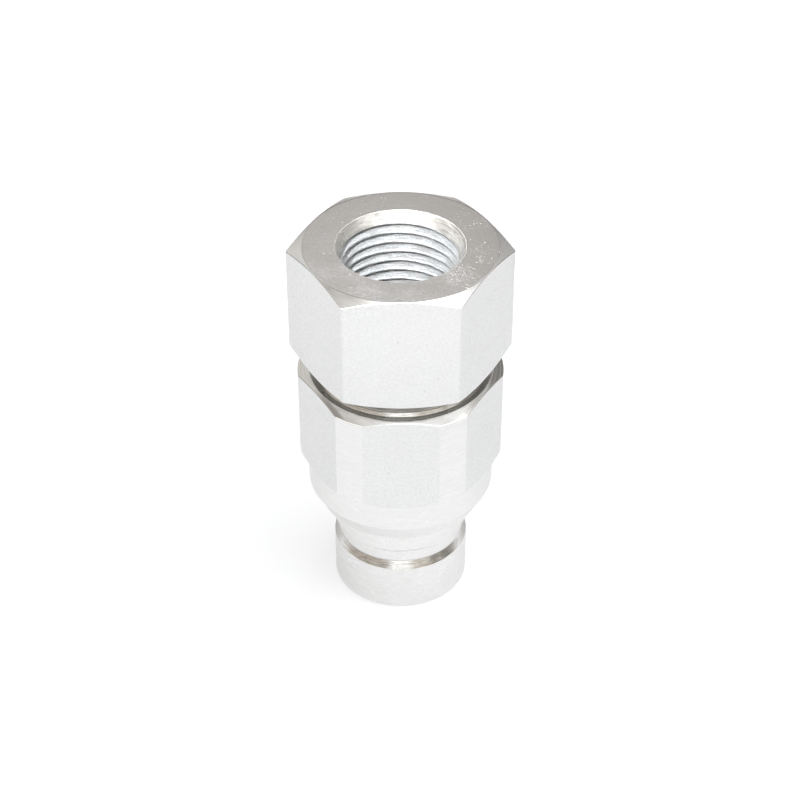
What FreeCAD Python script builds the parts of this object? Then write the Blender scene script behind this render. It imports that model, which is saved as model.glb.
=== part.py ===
import FreeCAD, Part
import math
import os
import re
import Sketcher

# Male half of a flat-face hydraulic quick coupler, millimetres.
# The nose's flat front face lies on z = 0, the axis is Z, and the threaded port faces +Z.

doc = FreeCAD.newDocument("quick_coupler")

# Driving dimensions: alias, value, meaning
dimensions = [
    # nose body, outside, from the front face upwards
    ("nose_radius", 11.6, "cylinder of the nose head"),
    ("nose_edge", 0.35, "chamfer round the front face"),
    ("head_length", 8.9, "front face to the start of the shoulder"),
    ("shoulder_length", 1.45, "sloped shoulder that the locking balls bear on"),
    ("groove_radius", 10.8, "bottom of the ball groove"),
    ("groove_length", 2.2, "flat bottom of the ball groove"),
    ("neck_radius", 11.65, "neck behind the ball groove"),
    ("neck_length", 5.0, "neck up to the skirt"),
    ("neck_corner", 0.6, "sloped inside corner between neck and skirt"),
    ("skirt_radius", 14.0, "small end of the conical skirt"),
    ("skirt_length", 3.4, "height of the conical skirt"),
    ("skirt_step", 0.25, "step from skirt to shank"),
    ("shank_setback", 0.2, "round shank inside the lower hexagon's flats"),
    ("shank_length", 4.9, "height of the shank"),
    ("hexagon_flats", 32.0, "both hexagons across flats, for one size of spanner"),
    ("body_corner_rise", 1.2, "turned-down corners outside the lower hexagon's flats"),
    ("body_hex_length", 18.2, "lower hexagon with its two chamfers"),
    ("body_low_angle", 41.3, "chamfer under the lower hexagon, from level"),
    ("body_top_angle", 22.4, "chamfer on top of the lower hexagon, from level"),
    ("body_top_chamfer", 1.8, "width of that chamfer at the corners"),
    # nose body, inside
    ("valve_bore_radius", 7.75, "front bore that the valve head closes"),
    ("valve_bore_edge", 0.3, "chamfer at the mouth of the front bore"),
    ("valve_bore_length", 6.4, "front face to the valve seat"),
    ("chamber_radius", 9.1, "valve chamber inside the neck"),
    ("wide_chamber_radius", 10.2, "valve chamber behind the neck"),
    ("chamber_setback", 0.6, "start of the wide chamber above the skirt's small end"),
    ("joint_thread_radius", 13.0, "pitch radius of the thread between body and adaptor"),
    ("guide_bore_setback", 0.6, "bore for guide and spigot inside that thread"),
    ("ring_groove_depth", 0.75, "groove of the retaining ring in that bore"),
    ("joint_thread_lead", 0.8, "chamfer at the mouth of that thread"),
    ("joint_thread_length", 7.7, "length of that thread below the body's top face"),
    ("joint_relief_depth", 0.6, "undercut below the thread in the body"),
    ("joint_relief_length", 1.2, "height of that undercut"),
    # rear adaptor
    ("collar_radius", 14.5, "collar that seats on the body"),
    ("collar_height", 2.63, "gap between the hexagons' faces"),
    ("collar_foot_height", 0.63, "conical foot of that collar"),
    ("collar_foot_step", 0.35, "collar inside the rim of its foot"),
    ("adaptor_low_setback", 0.6, "flat underside inside the flats"),
    ("adaptor_top_setback", 0.14, "flat top face inside the flats"),
    ("adaptor_hex_length", 20.87, "upper hexagon with its two chamfers"),
    ("adaptor_low_angle", 25.8, "chamfer under the upper hexagon, from level"),
    ("adaptor_top_angle", 24.9, "chamfer on top of the upper hexagon, from level"),
    ("bar_corner_round", 0.65, "rolled corners of the hexagon bar"),
    ("stock_allowance", 1.0, "turned blank outside the hexagon's corners, milled away"),
    ("port_mouth_radius", 10.48, "mouth of the countersink"),
    ("port_thread_radius", 9.32, "crests of the female pipe thread"),
    ("port_thread_length", 16.0, "length of the female thread"),
    ("port_sink_angle", 60.0, "slope of the countersink, from level"),
    ("port_floor_angle", 45.0, "slope of the floor below the thread"),
    ("passage_radius", 8.2, "flow passage through the adaptor"),
    ("passage_flare_radius", 9.8, "flare at the end of the spigot"),
    ("spigot_length", 14.7, "spigot below the collar"),
    ("spigot_edge", 0.5, "chamfer at the end of the spigot"),
    ("spigot_relief_depth", 0.6, "undercuts at both ends of the spigot's thread"),
    # seals
    ("spigot_gland_start", 1.0, "end of the spigot to its seal groove"),
    ("spigot_gland_depth", 1.5, "depth of that groove"),
    ("valve_gland_start", 1.5, "valve face to its seal groove"),
    ("valve_gland_depth", 1.5, "depth of that groove"),
    ("seal_width", 2.0, "squeezed O-ring, along the axis"),
    ("seal_bevel", 0.45, "bevelled corners that round off a squeezed O-ring"),
    ("backup_width", 1.2, "thickness of a backup ring"),
    # valve and its spring
    ("face_recess", 0.1, "valve face behind the front face"),
    ("face_edge", 0.25, "chamfer round the valve face"),
    ("flange_radius", 8.2, "flange that stops on the seat"),
    ("flange_thickness", 1.4, "height of that flange's rim"),
    ("spring_pilot_radius", 5.6, "step that centres the spring"),
    ("spring_pilot_height", 1.6, "height of that step"),
    ("spring_pilot_edge", 0.5, "chamfer of that step"),
    ("stem_radius", 3.0, "valve stem"),
    ("stem_tail", 2.4, "stem beyond the guide's hub"),
    ("stem_edge", 0.5, "chamfer at the end of the stem"),
    ("spring_radius", 6.7, "spring, axis to centre of wire"),
    ("spring_wire", 1.5, "diameter of the spring wire"),
    ("spring_turns", 4.75, "turns in all, with the closed ends"),
    # guide, washer and ring
    ("guide_thickness", 2.6, "height of the guide's rim and legs"),
    ("guide_rim_width", 2.0, "width of the guide's rim"),
    ("guide_hub_radius", 4.8, "outside of the guide's hub"),
    ("guide_hub_length", 6.2, "length of the hub"),
    ("guide_leg_width", 2.8, "width of each of the guide's legs"),
    ("leg_root", 0.8, "legs run this far into hub and rim"),
    ("washer_radius", 7.9, "outside of the spring seat"),
    ("washer_thickness", 0.8, "thickness of the spring seat"),
    ("ring_thickness", 1.0, "thickness of the retaining ring"),
    ("ring_width", 1.7, "radial width of the retaining ring"),
    ("ring_gap", 7.5, "opening of the retaining ring"),
    ("lug_radius", 1.55, "lugs at the retaining ring's ends"),
    ("lug_setback", 0.1, "lugs inside the ring's outer edge"),
    ("lug_hole_radius", 0.65, "plier holes in the lugs"),
    ("ring_to_spigot", 0.6, "retaining ring to the end of the spigot"),
    # fits
    ("running_clearance", 0.05, "sliding parts, each side"),
    ("fit_clearance", 0.03, "parts that stay put, each side"),
    ("groove_clearance", 0.05, "rings in their grooves, each face"),
    ("seat_clearance", 0.05, "closed valve to its seat, along the axis"),
]

sheet = doc.addObject("Spreadsheet::Sheet", "sizes")
for row, (alias, value, meaning) in enumerate(dimensions, start=1):
    sheet.set(f"A{row}", meaning)
    sheet.set(f"B{row}", str(value))
    sheet.setAlias(f"B{row}", alias)
doc.recompute()

# Radii and heights that several pieces share, as formulas of the sheet's sizes
shank_radius = "(hexagon_flats / 2 - shank_setback)"
body_corner_radius = "(hexagon_flats / 2 + body_corner_rise)"
guide_bore_radius = "(joint_thread_radius - guide_bore_setback)"
shoulder_top = "(head_length + shoulder_length)"
neck_start = f"({shoulder_top} + groove_length + neck_radius - groove_radius)"
skirt_start = f"({neck_start} + neck_length)"
shank_start = f"({skirt_start} + skirt_length)"
body_hex_start = f"({shank_start} + shank_length)"
body_top = f"({body_hex_start} + body_hex_length)"
spigot_end = f"({body_top} - spigot_length)"
ring_top = f"({spigot_end} - ring_to_spigot)"
guide_top = f"({ring_top} - ring_thickness - groove_clearance)"
guide_seat = f"({guide_top} - guide_thickness)"
washer_face = f"({guide_seat} - washer_thickness)"
adaptor_seat = f"({body_top} + collar_height)"
adaptor_top = f"({adaptor_seat} + adaptor_hex_length)"
valve_radius = "(valve_bore_radius - running_clearance)"
valve_seat = "(valve_bore_length + seat_clearance)"
flange_front = f"({valve_seat} + flange_radius - {valve_radius})"
flange_back = f"({flange_front} + flange_thickness)"
spigot_radius = f"({guide_bore_radius} - fit_clearance)"
spigot_thread_radius = "(joint_thread_radius - fit_clearance)"


def bound(formula):
    """Formula with every size name pointed at the sheet."""
    return re.sub(r"\b([a-z]+(?:_[a-z]+)+)\b", r"sizes.\1", formula)


def number(formula):
    """Present value of a formula, in millimetres."""
    return float(sheet.evalExpression(bound(formula)))


def new_body(name):
    body = doc.addObject("PartDesign::Body", name)
    body.Label = name
    return body


def new_sketch(body, name, plane, height=None):
    """Empty sketch on one of the body's own planes, raised to a height if one is given."""
    sketch = body.newObject("Sketcher::SketchObject", name)
    origin_plane = next(item for item in body.Origin.OriginFeatures if item.Role == plane)
    sketch.AttachmentSupport = [(origin_plane, "")]
    sketch.MapMode = "FlatFace"
    if height is not None:
        sketch.setExpression(".AttachmentOffset.Base.z", bound(height))
    return sketch


def tie_point(sketch, curve, end, across, up):
    """Tie one point of a curve to its two formulas, measured from the sketch's origin."""
    for formula, kind, axis in ((across, "DistanceX", -2), (up, "DistanceY", -1)):
        if formula == "0":
            sketch.addConstraint(Sketcher.Constraint("PointOnObject", curve, end, axis))
        else:
            tie = sketch.addConstraint(Sketcher.Constraint(kind, -1, 1, curve, end, number(formula)))
            sketch.setExpression(f"Constraints[{tie}]", bound(formula))


def draw_outline(sketch, corners):
    """Closed outline of straight lines through corners given as pairs of formulas."""
    points = [FreeCAD.Vector(number(across), number(up), 0) for across, up in corners]
    first = sketch.GeometryCount
    count = len(points)
    for index in range(count):
        sketch.addGeometry(Part.LineSegment(points[index], points[(index + 1) % count]), False)
    for index in range(count):
        following = first + (index + 1) % count
        sketch.addConstraint(Sketcher.Constraint("Coincident", first + index, 2, following, 1))
    for index, (across, up) in enumerate(corners):
        tie_point(sketch, first + index, 1, across, up)


def tie_radius(sketch, curve, radius):
    """Tie a circle's or an arc's radius to its formula."""
    tie = sketch.addConstraint(Sketcher.Constraint("Radius", curve, number(radius)))
    sketch.setExpression(f"Constraints[{tie}]", bound(radius))


def tie_centre(sketch, curve, across, up):
    """Tie a circle's or an arc's centre to its two formulas."""
    tie_point(sketch, curve, 3, across, up)


def draw_circle(sketch, across, up, radius):
    """Circle whose centre and radius are formulas."""
    centre = FreeCAD.Vector(number(across), number(up), 0)
    circle = sketch.addGeometry(Part.Circle(centre, FreeCAD.Vector(0, 0, 1), number(radius)), False)
    tie_radius(sketch, circle, radius)
    tie_centre(sketch, circle, across, up)


def revolve(body, name, corners):
    """Solid of revolution about Z, from an outline of radius and height."""
    sketch = new_sketch(body, f"{name}_outline", "XZ_Plane")
    draw_outline(sketch, corners)
    turned = body.newObject("PartDesign::Revolution", name)
    turned.Profile = sketch
    turned.ReferenceAxis = (sketch, ["V_Axis"])
    turned.Angle = 360
    body.Tip = turned
    doc.recompute()
    return turned


def cut_upwards(body, name, sketch, depth):
    """Pocket from the sketch's plane upwards, checked by the volume it takes away."""
    before = body.Shape.Volume
    pocket = body.newObject("PartDesign::Pocket", name)
    pocket.Profile = sketch
    pocket.Type = "Length"
    pocket.Reversed = True
    pocket.setExpression("Length", bound(depth))
    body.Tip = pocket
    doc.recompute()
    if body.Shape.Volume > before - 0.01:
        raise RuntimeError(f"{name} cut nothing")
    return pocket


def pad_upwards(body, name, sketch, height):
    pad = body.newObject("PartDesign::Pad", name)
    pad.Profile = sketch
    pad.Type = "Length"
    pad.setExpression("Length", bound(height))
    body.Tip = pad
    doc.recompute()
    return pad


def draw_rounded_hexagon(sketch, flats, corner_round):
    """Hexagon with two flats facing along Y and its corners rounded."""
    reach = f"({flats} - 2 * {corner_round}) / sqrt(3)"
    radius = number(corner_round)
    arcs = []
    for k in range(6):
        across = f"{reach} * cos({60 * k})"
        up = f"{reach} * sin({60 * k})" if k % 3 else "0"
        centre = FreeCAD.Vector(number(across), number(up), 0)
        whole = Part.Circle(centre, FreeCAD.Vector(0, 0, 1), radius)
        span = (math.radians(60 * k - 30), math.radians(60 * k + 30))
        arc = sketch.addGeometry(Part.ArcOfCircle(whole, *span), False)
        arcs.append(arc)
        tie_radius(sketch, arc, corner_round)
        tie_centre(sketch, arc, across, up)
    for k in range(6):
        start = sketch.getPoint(arcs[k], 2)
        end = sketch.getPoint(arcs[(k + 1) % 6], 1)
        side = sketch.addGeometry(Part.LineSegment(start, end), False)
        sketch.addConstraint(Sketcher.Constraint("Tangent", arcs[k], 2, side, 1))
        sketch.addConstraint(Sketcher.Constraint("Tangent", side, 2, arcs[(k + 1) % 6], 1))


def mill_hexagon(body, name, start, length):
    """Six flats on a round blank, with the rolled corners of hexagon bar."""
    sketch = new_sketch(body, f"{name}_outline", "XY_Plane", start)
    draw_rounded_hexagon(sketch, "hexagon_flats", "bar_corner_round")
    draw_circle(sketch, "0", "0", "hexagon_flats / sqrt(3) + 2 * stock_allowance")
    return cut_upwards(body, name, sketch, length)


def build_nose_body():
    body = new_body("nose_body")
    low_chamfer = f"({body_corner_radius} - {shank_radius}) * tan(body_low_angle)"
    top_chamfer = "body_top_chamfer * tan(body_top_angle)"
    thread_end = f"({body_top} - joint_thread_length)"
    relief_end = f"({thread_end} - joint_relief_length)"
    ring_groove_radius = f"{guide_bore_radius} + ring_groove_depth"
    wide_start = f"({skirt_start} + chamber_setback)"
    revolve(body, "turned_blank", [
        ("nose_radius - nose_edge", "0"),
        ("nose_radius", "nose_edge"),
        ("nose_radius", "head_length"),
        ("groove_radius", shoulder_top),
        ("groove_radius", f"{shoulder_top} + groove_length"),
        ("neck_radius", neck_start),
        ("neck_radius", f"{skirt_start} - neck_corner"),
        ("neck_radius + neck_corner", skirt_start),
        ("skirt_radius", skirt_start),
        (f"{shank_radius} - skirt_step", shank_start),
        (shank_radius, shank_start),
        (shank_radius, body_hex_start),
        (body_corner_radius, f"{body_hex_start} + {low_chamfer}"),
        (body_corner_radius, f"{body_top} - {top_chamfer}"),
        (f"{body_corner_radius} - body_top_chamfer", body_top),
        ("joint_thread_radius + joint_thread_lead", body_top),
        ("joint_thread_radius", f"{body_top} - joint_thread_lead"),
        ("joint_thread_radius", thread_end),
        ("joint_thread_radius + joint_relief_depth", thread_end),
        ("joint_thread_radius + joint_relief_depth", relief_end),
        (guide_bore_radius, f"{relief_end} - joint_relief_depth - guide_bore_setback"),
        (guide_bore_radius, f"{ring_top} + groove_clearance"),
        (ring_groove_radius, f"{ring_top} + groove_clearance"),
        (ring_groove_radius, guide_top),
        (guide_bore_radius, guide_top),
        (guide_bore_radius, guide_seat),
        ("wide_chamber_radius", guide_seat),
        ("wide_chamber_radius", f"{wide_start} + wide_chamber_radius - chamber_radius"),
        ("chamber_radius", wide_start),
        ("chamber_radius", "valve_bore_length + chamber_radius - valve_bore_radius"),
        ("valve_bore_radius", "valve_bore_length"),
        ("valve_bore_radius", "valve_bore_edge"),
        ("valve_bore_radius + valve_bore_edge", "0"),
    ])
    mill_hexagon(body, "lower_hexagon", body_hex_start, "body_hex_length")


def build_rear_adaptor():
    body = new_body("rear_adaptor")
    blank_radius = "(hexagon_flats / sqrt(3) + stock_allowance)"
    low_face_radius = "(hexagon_flats / 2 - adaptor_low_setback)"
    top_face_radius = "(hexagon_flats / 2 - adaptor_top_setback)"
    low_chamfer = f"({blank_radius} - {low_face_radius}) * tan(adaptor_low_angle)"
    top_chamfer = f"({blank_radius} - {top_face_radius}) * tan(adaptor_top_angle)"
    sink_depth = "(port_mouth_radius - port_thread_radius) * tan(port_sink_angle)"
    thread_top = f"({adaptor_top} - {sink_depth})"
    thread_foot = f"({thread_top} - port_thread_length)"
    floor_drop = "(port_thread_radius - passage_radius) * tan(port_floor_angle)"
    gland_foot = f"({spigot_end} + spigot_gland_start)"
    gland_head = f"({gland_foot} + seal_width + backup_width + 3 * groove_clearance)"
    gland_radius = f"({guide_bore_radius} - spigot_gland_depth)"
    joint_foot = f"({body_top} - joint_thread_length)"
    relief_radius = f"({guide_bore_radius} - spigot_relief_depth)"
    revolve(body, "turned_blank", [
        (f"{spigot_radius} - spigot_edge", spigot_end),
        (spigot_radius, f"{spigot_end} + spigot_edge"),
        (spigot_radius, gland_foot),
        (gland_radius, gland_foot),
        (gland_radius, gland_head),
        (spigot_radius, gland_head),
        (spigot_radius, f"{joint_foot} - spigot_relief_depth"),
        (relief_radius, f"{joint_foot} - spigot_relief_depth"),
        (relief_radius, joint_foot),
        (spigot_thread_radius, f"{joint_foot} + {spigot_thread_radius} - {relief_radius}"),
        (spigot_thread_radius, f"{body_top} - joint_thread_lead - spigot_relief_depth"),
        (relief_radius, f"{body_top} - joint_thread_lead"),
        (relief_radius, body_top),
        ("collar_radius", body_top),
        ("collar_radius - collar_foot_step", f"{body_top} + collar_foot_height"),
        ("collar_radius - collar_foot_step", adaptor_seat),
        (low_face_radius, adaptor_seat),
        (blank_radius, f"{adaptor_seat} + {low_chamfer}"),
        (blank_radius, f"{adaptor_top} - {top_chamfer}"),
        (top_face_radius, adaptor_top),
        ("port_mouth_radius", adaptor_top),
        ("port_thread_radius", thread_top),
        ("port_thread_radius", thread_foot),
        ("passage_radius", f"{thread_foot} - {floor_drop}"),
        ("passage_radius", f"{spigot_end} + passage_flare_radius - passage_radius"),
        ("passage_flare_radius", spigot_end),
    ])
    mill_hexagon(body, "upper_hexagon", adaptor_seat, "adaptor_hex_length")


def build_seal(name, inner, outer, start):
    """O-ring as it sits squeezed in its groove: its round section bevelled at the four corners."""
    body = new_body(name)
    end = f"({start} + seal_width)"
    revolve(body, "squeezed_section", [
        (f"{inner} + seal_bevel", start),
        (f"{outer} - seal_bevel", start),
        (outer, f"{start} + seal_bevel"),
        (outer, f"{end} - seal_bevel"),
        (f"{outer} - seal_bevel", end),
        (f"{inner} + seal_bevel", end),
        (inner, f"{end} - seal_bevel"),
        (inner, f"{start} + seal_bevel"),
    ])


def build_backup_ring(name, inner, outer, start):
    body = new_body(name)
    revolve(body, "flat_section", [
        (inner, start),
        (outer, start),
        (outer, f"{start} + backup_width"),
        (inner, f"{start} + backup_width"),
    ])


def build_adaptor_seals():
    inner = f"{guide_bore_radius} - spigot_gland_depth"
    outer = spigot_radius
    start = f"({spigot_end} + spigot_gland_start + groove_clearance)"
    build_seal("adaptor_o_ring", inner, outer, start)
    build_backup_ring("adaptor_backup_ring", inner, outer, f"({start} + seal_width + groove_clearance)")


def build_poppet_seals():
    inner = "valve_bore_radius - valve_gland_depth"
    outer = valve_radius
    start = "(face_recess + valve_gland_start + groove_clearance)"
    build_seal("poppet_o_ring", inner, outer, start)
    build_backup_ring("poppet_backup_ring", inner, outer, f"({start} + seal_width + groove_clearance)")


def build_valve_poppet():
    body = new_body("valve_poppet")
    gland_foot = "(face_recess + valve_gland_start)"
    gland_head = f"({gland_foot} + seal_width + backup_width + 3 * groove_clearance)"
    gland_radius = "(valve_bore_radius - valve_gland_depth)"
    pilot_top = f"({flange_back} + spring_pilot_height)"
    stem_end = f"({guide_top} + stem_tail)"
    revolve(body, "turned_valve", [
        ("0", "face_recess"),
        (f"{valve_radius} - face_edge", "face_recess"),
        (valve_radius, "face_recess + face_edge"),
        (valve_radius, gland_foot),
        (gland_radius, gland_foot),
        (gland_radius, gland_head),
        (valve_radius, gland_head),
        (valve_radius, valve_seat),
        ("flange_radius", flange_front),
        ("flange_radius", flange_back),
        ("spring_pilot_radius", flange_back),
        ("spring_pilot_radius", f"{pilot_top} - spring_pilot_edge"),
        ("spring_pilot_radius - spring_pilot_edge", pilot_top),
        ("stem_radius", pilot_top),
        ("stem_radius", f"{stem_end} - stem_edge"),
        ("stem_radius - stem_edge", stem_end),
        ("0", stem_end),
    ])


def build_valve_guide():
    body = new_body("valve_guide")
    rim_radius = f"({guide_bore_radius} - fit_clearance)"
    rim_inner = f"({rim_radius} - guide_rim_width)"
    hub_bore = "(stem_radius + running_clearance)"
    hub_foot = f"({guide_top} - guide_hub_length)"
    revolve(body, "hub", [
        (hub_bore, hub_foot),
        ("guide_hub_radius", hub_foot),
        ("guide_hub_radius", guide_top),
        (hub_bore, guide_top),
    ])
    leg_sketch = new_sketch(body, "leg_outline", "XY_Plane", guide_seat)
    draw_outline(leg_sketch, [
        ("guide_hub_radius - leg_root", "-guide_leg_width / 2"),
        (f"{rim_inner} + leg_root", "-guide_leg_width / 2"),
        (f"{rim_inner} + leg_root", "guide_leg_width / 2"),
        ("guide_hub_radius - leg_root", "guide_leg_width / 2"),
    ])
    leg = pad_upwards(body, "leg", leg_sketch, "guide_thickness")
    legs = body.newObject("PartDesign::PolarPattern", "legs")
    legs.Originals = [leg]
    legs.Axis = (leg_sketch, ["N_Axis"])
    legs.Angle = 360
    legs.Occurrences = 3
    body.Tip = legs
    doc.recompute()
    revolve(body, "rim", [
        (rim_inner, guide_seat),
        (rim_radius, guide_seat),
        (rim_radius, guide_top),
        (rim_inner, guide_top),
    ])


def build_spring_seat():
    body = new_body("spring_seat")
    hole = "(guide_hub_radius + running_clearance)"
    revolve(body, "washer", [
        (hole, washer_face),
        ("washer_radius", washer_face),
        ("washer_radius", guide_seat),
        (hole, guide_seat),
    ])


def build_retaining_ring():
    body = new_body("retaining_ring")
    outer = f"({guide_bore_radius} + ring_groove_depth - groove_clearance)"
    inner = f"({outer} - ring_width)"
    foot = f"({ring_top} - ring_thickness)"
    revolve(body, "ring", [
        (inner, foot),
        (outer, foot),
        (outer, ring_top),
        (inner, ring_top),
    ])
    gap_sketch = new_sketch(body, "gap_outline", "XY_Plane", foot)
    draw_outline(gap_sketch, [
        (f"{inner} - ring_width", "-ring_gap / 2"),
        (f"{outer} + ring_width", "-ring_gap / 2"),
        (f"{outer} + ring_width", "ring_gap / 2"),
        (f"{inner} - ring_width", "ring_gap / 2"),
    ])
    cut_upwards(body, "gap", gap_sketch, "ring_thickness")
    lug_up = "(ring_gap / 2 + lug_radius)"
    lug_across = f"sqrt(({outer} - lug_radius - lug_setback) ^ 2 - {lug_up} ^ 2)"
    lug_sketch = new_sketch(body, "lug_outline", "XY_Plane", foot)
    hole_sketch = new_sketch(body, "plier_hole_outline", "XY_Plane", foot)
    for up in (lug_up, f"-{lug_up}"):
        draw_circle(lug_sketch, lug_across, up, "lug_radius")
        draw_circle(hole_sketch, lug_across, up, "lug_hole_radius")
    pad_upwards(body, "lugs", lug_sketch, "ring_thickness")
    cut_upwards(body, "plier_holes", hole_sketch, "ring_thickness")


def wire_height(turn, turns, foot, head, closed_pitch):
    """Height of the wire's centre after so many turns: closed at both ends, open between."""
    closed_turns = 0.75
    lead_in = min(turn, closed_turns)
    lead_out = max(turn - turns + closed_turns, 0.0)
    open_share = (turn - lead_in - lead_out) / (turns - 2 * closed_turns)
    open_rise = head - foot - 2 * closed_turns * closed_pitch
    return foot + closed_pitch * (lead_in + lead_out) + open_rise * open_share


def build_poppet_spring():
    """Wire lofted through short straight lengths of a helix, then ground flat at both ends."""
    wire = number("spring_wire")
    radius = number("spring_radius")
    turns = number("spring_turns")
    foot = number(flange_back)
    head = number(washer_face)
    ground_off = wire / 4
    steps = round(turns * 20)
    sides = 8
    sections = []
    for step in range(steps + 1):
        turn = turns * step / steps
        outwards = FreeCAD.Vector(math.cos(2 * math.pi * turn), math.sin(2 * math.pi * turn), 0)
        height = wire_height(turn, turns, foot + ground_off, head - ground_off, wire)
        centre = outwards * radius + FreeCAD.Vector(0, 0, height)
        corners = []
        for side in range(sides + 1):
            around = 2 * math.pi * (side + 0.5) / sides
            corner = outwards * math.cos(around) + FreeCAD.Vector(0, 0, math.sin(around))
            corners.append(centre + corner * (wire / 2))
        sections.append(Part.makePolygon(corners))
    coil = Part.makeLoft(sections, True, True)
    between_seats = Part.makeCylinder(radius + wire, head - foot, FreeCAD.Vector(0, 0, foot))
    spring = doc.addObject("Part::Feature", "poppet_spring")
    spring.Label = "poppet_spring"
    spring.Shape = coil.common(between_seats)


def export_parts():
    """Check every object, then write one file for each sub-part."""
    doc.recompute()
    for item in doc.Objects:
        if "Invalid" in item.State or "Error" in item.State:
            raise RuntimeError(f"{item.Label} failed to compute")
    names = [item for item in doc.Objects if item.TypeId in ("PartDesign::Body", "Part::Feature")]
    for item in names:
        if item.Shape.isNull() or not item.Shape.isValid() or len(item.Shape.Solids) != 1:
            raise RuntimeError(f"{item.Label} has no single valid solid")
    os.makedirs("parts", exist_ok=True)
    for item in names:
        item.Shape.exportStep(f"parts/{item.Label}.step")
        print(f"{item.Label}: {item.Shape.Volume:.1f} mm3")


build_nose_body()
build_rear_adaptor()
build_adaptor_seals()
build_valve_poppet()
build_poppet_seals()
build_valve_guide()
build_spring_seat()
build_retaining_ring()
build_poppet_spring()
export_parts()
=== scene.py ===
import math

import bmesh
import bpy
import numpy as np
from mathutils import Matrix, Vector


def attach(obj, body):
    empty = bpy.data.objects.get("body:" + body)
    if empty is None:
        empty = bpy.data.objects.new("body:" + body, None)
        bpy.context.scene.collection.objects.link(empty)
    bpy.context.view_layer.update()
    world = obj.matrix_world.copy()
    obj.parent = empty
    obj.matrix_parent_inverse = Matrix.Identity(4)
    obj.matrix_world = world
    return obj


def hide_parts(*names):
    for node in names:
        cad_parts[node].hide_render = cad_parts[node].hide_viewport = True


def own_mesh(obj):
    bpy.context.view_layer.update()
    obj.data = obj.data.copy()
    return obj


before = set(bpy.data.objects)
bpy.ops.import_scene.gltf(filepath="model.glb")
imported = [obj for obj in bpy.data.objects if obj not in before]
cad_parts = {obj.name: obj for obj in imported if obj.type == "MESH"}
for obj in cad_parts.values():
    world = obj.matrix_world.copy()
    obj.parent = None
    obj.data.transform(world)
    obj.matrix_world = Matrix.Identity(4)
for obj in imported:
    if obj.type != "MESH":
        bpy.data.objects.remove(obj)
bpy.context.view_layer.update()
mm = 0.001  # the part's sizes below are in millimetres, as on a drawing
print("frame loaded")


def hexToLinear(code):
    channels = [int(code[i:i + 2], 16) / 255 for i in (0, 2, 4)]
    linear = [c / 12.92 if c <= 0.04045 else ((c + 0.055) / 1.055) ** 2.4 for c in channels]
    return (*linear, 1.0)


def addNode(tree, kind, settings=None):
    # a shader node with its settings; a setting that is another node, or one of its outputs, becomes a link
    node = tree.nodes.new("ShaderNode" + kind)
    for name, value in (settings or {}).items():
        if isinstance(value, bpy.types.Node):
            value = value.outputs[0]
        if isinstance(value, bpy.types.NodeSocket):
            tree.links.new(value, node.inputs[name])
        elif isinstance(name, int) or name in node.inputs:
            node.inputs[name].default_value = value
        else:
            setattr(node, name, value)
    return node


def startMaterial(name):
    material = bpy.data.materials.new(name)
    material.use_nodes = True
    material.node_tree.nodes.clear()
    return material, material.node_tree


def placeObject(name, mesh):
    piece = bpy.data.objects.new(name, mesh)
    bpy.context.scene.collection.objects.link(piece)
    return piece


# camera, at the photograph's viewing angle: places and lens in millimetres, angles in degrees
view = {"side": -1.916, "back": -264.714, "height": 243.224,
        "tilt": 37.903, "turn": 0.394, "lens": 89.375, "sensor": 36, "nearest": 10.0}

cameraData = bpy.data.cameras.new("studioCamera")
cameraData.lens = view["lens"]
cameraData.sensor_width = view["sensor"]
cameraData.clip_start = view["nearest"] * mm
camera = bpy.data.objects.new("studioCamera", cameraData)
camera.location = (view["side"] * mm, view["back"] * mm, view["height"] * mm)
camera.rotation_euler = (math.radians(90 - view["tilt"]), 0, -math.radians(view["turn"]))
bpy.context.scene.collection.objects.link(camera)
bpy.context.scene.camera = camera
print("camera placed")


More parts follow.
